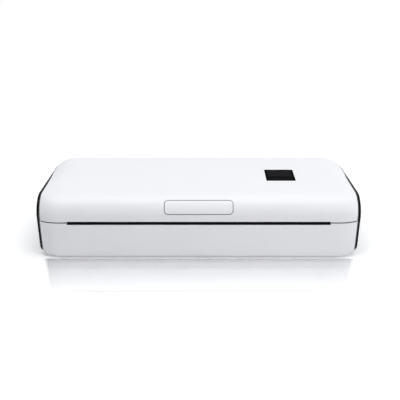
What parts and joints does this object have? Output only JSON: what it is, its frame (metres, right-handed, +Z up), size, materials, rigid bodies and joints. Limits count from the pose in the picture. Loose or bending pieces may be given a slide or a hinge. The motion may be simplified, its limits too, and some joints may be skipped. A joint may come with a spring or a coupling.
{
  "type": "a4 portable thermal printer",
  "caption": "Low portable thermal printer for A4 paper: white shells, black end strips, front paper exit, release button, small display window and a hinged cover over a paper bay.",
  "frame": {"origin": "on the rest plane under the middle of the body", "axes": "+X along the width as seen from the front, the front face with the paper exit towards -Y, +Z up"},
  "size_m": [0.2698, 0.107, 0.054],
  "materials": {
    "base_shell": "fine moulded satin white",
    "cover_shell": "fine moulded satin white",
    "end_cap_left": "semi-gloss black",
    "end_cap_right": "semi-gloss black",
    "rubber_feet": "matte",
    "case_screws": "zinc plated",
    "chassis": "matte black moulding",
    "hinge_brackets": "plated sheet",
    "hinge_pins": "ground",
    "exit_guide": "matte black",
    "tear_bar": "blackened",
    "frame_plate_left": "plated sheet",
    "frame_plate_right": "plated sheet",
    "spring_bracket": "plated sheet",
    "head_heatsink": "extruded",
    "head_ceramic": "glazed ceramic",
    "head_driver_cover": "moulded",
    "head_pins": "ground",
    "head_springs": "spring wire",
    "stepper_motor": "plated can",
    "motor_pinion": "moulded",
    "compound_gear": "moulded acetal",
    "idler_gear": "moulded acetal",
    "gear_axles": "ground",
    "platen_shaft": "ground",
    "platen_rubber": "ground silicone",
    "platen_gear": "moulded acetal",
    "platen_bushes": "self-lubricating",
    "platen_brackets": "plated sheet",
    "bracket_screws": "zinc plated",
    "upper_guide": "matte black",
    "release_button": "fine moulded satin white",
    "latch_bar": "matte black",
    "latch_hooks": "stamped",
    "latch_pins": "ground",
    "latch_springs": "spring wire",
    "display_window": "smoked lens",
    "display_panel": "unlit panel",
    "display_board": "solder mask",
    "display_ribbon": "flat cable",
    "main_board": "solder mask",
    "board_parts": "moulded packages",
    "port_board": "solder mask",
    "usb_socket": "stainless shell",
    "power_switch": "matte",
    "power_button": "satin dark grey",
    "battery_cells": "sleeved can",
    "battery_wrap": "shrink film",
    "head_ribbon": "flat cable",
    "paper_sensor": "matte"
  },
  "bodies": {
    "base": {"base_shell": "base_shell", "end_cap_left": "end_cap_left", "end_cap_right": "end_cap_right", "rubber_feet": "rubber_feet", "case_screws": "case_screws", "chassis": "chassis", "hinge_brackets": "hinge_brackets", "hinge_pins": "hinge_pins", "exit_guide": "exit_guide", "tear_bar": "tear_bar", "frame_plate_left": "frame_plate_left", "frame_plate_right": "frame_plate_right", "spring_bracket": "spring_bracket", "head_pins": "head_pins", "head_springs": "head_springs", "stepper_motor": "stepper_motor", "gear_axles": "gear_axles", "main_board": "main_board", "board_parts": "board_parts", "port_board": "port_board", "usb_socket": "usb_socket", "power_switch": "power_switch", "battery_cells": "battery_cells", "battery_wrap": "battery_wrap", "head_ribbon": "head_ribbon", "paper_sensor": "paper_sensor"},
    "cover": {"cover_shell": "cover_shell", "display_window": "display_window", "display_panel": "display_panel", "display_board": "display_board", "display_ribbon": "display_ribbon", "platen_brackets": "platen_brackets", "bracket_screws": "bracket_screws", "platen_bushes": "platen_bushes", "upper_guide": "upper_guide", "latch_pins": "latch_pins", "latch_springs": "latch_springs"},
    "platen": {"platen_shaft": "platen_shaft", "platen_rubber": "platen_rubber", "platen_gear": "platen_gear"},
    "release_button": {"release_button": "release_button"},
    "latch": {"latch_bar": "latch_bar", "latch_hooks": "latch_hooks"},
    "print_head": {"head_heatsink": "head_heatsink", "head_ceramic": "head_ceramic", "head_driver_cover": "head_driver_cover"},
    "idler": {"idler_gear": "idler_gear"},
    "compound": {"compound_gear": "compound_gear"},
    "pinion": {"motor_pinion": "motor_pinion"},
    "power_button": {"power_button": "power_button"}
  },
  "joints": [
    {"name": "cover_hinge", "type": "hinge", "parent": "base", "child": "cover", "pos_m": [0, 0.0494, 0.0354], "axis": [-1, 0, 0], "range_deg": [0, 84]},
    {"name": "platen_spin", "type": "hinge", "parent": "cover", "child": "platen", "pos_m": [0, -0.038, 0.04], "axis": [1, 0, 0], "continuous": true},
    {"name": "idler_spin", "type": "hinge", "parent": "base", "child": "idler", "pos_m": [0, -0.03881, 0.02462], "axis": [1, 0, 0], "continuous": true},
    {"name": "compound_spin", "type": "hinge", "parent": "base", "child": "compound", "pos_m": [0, -0.02631, 0.02007], "axis": [1, 0, 0], "continuous": true},
    {"name": "pinion_spin", "type": "hinge", "parent": "base", "child": "pinion", "pos_m": [0, -0.01109, 0.01297], "axis": [1, 0, 0], "continuous": true},
    {"name": "release_press", "type": "slide", "parent": "cover", "child": "release_button", "axis": [0, 0.809, -0.5878], "range_m": [0, 0.0012], "stiffness_N_per_m": 900, "springref_m": -0.0015},
    {"name": "latch_swing", "type": "hinge", "parent": "cover", "child": "latch", "pos_m": [0, -0.0405, 0.0486], "axis": [1, 0, 0], "range_deg": [0, 9.98]},
    {"name": "head_tilt", "type": "hinge", "parent": "base", "child": "print_head", "pos_m": [0, -0.0285, 0.0316], "axis": [1, 0, 0], "range_deg": [0, 1.5], "stiffness_Nm_per_rad": 8, "springref_deg": -2.86, "deforming": ["head_springs"]},
    {"name": "power_press", "type": "slide", "parent": "base", "child": "power_button", "axis": [-1, 0, 0], "range_m": [0, 0.0008], "stiffness_N_per_m": 1200, "springref_m": -0.0008}
  ],
  "couplings": [
    {"joint": "idler_spin", "follows": "platen_spin", "ratio": -0.83333},
    {"joint": "compound_spin", "follows": "platen_spin", "ratio": 1.4286},
    {"joint": "pinion_spin", "follows": "platen_spin", "ratio": -4.2857},
    {"joint": "latch_swing", "follows": "release_press", "rad_per_m": 142.18}
  ]
}
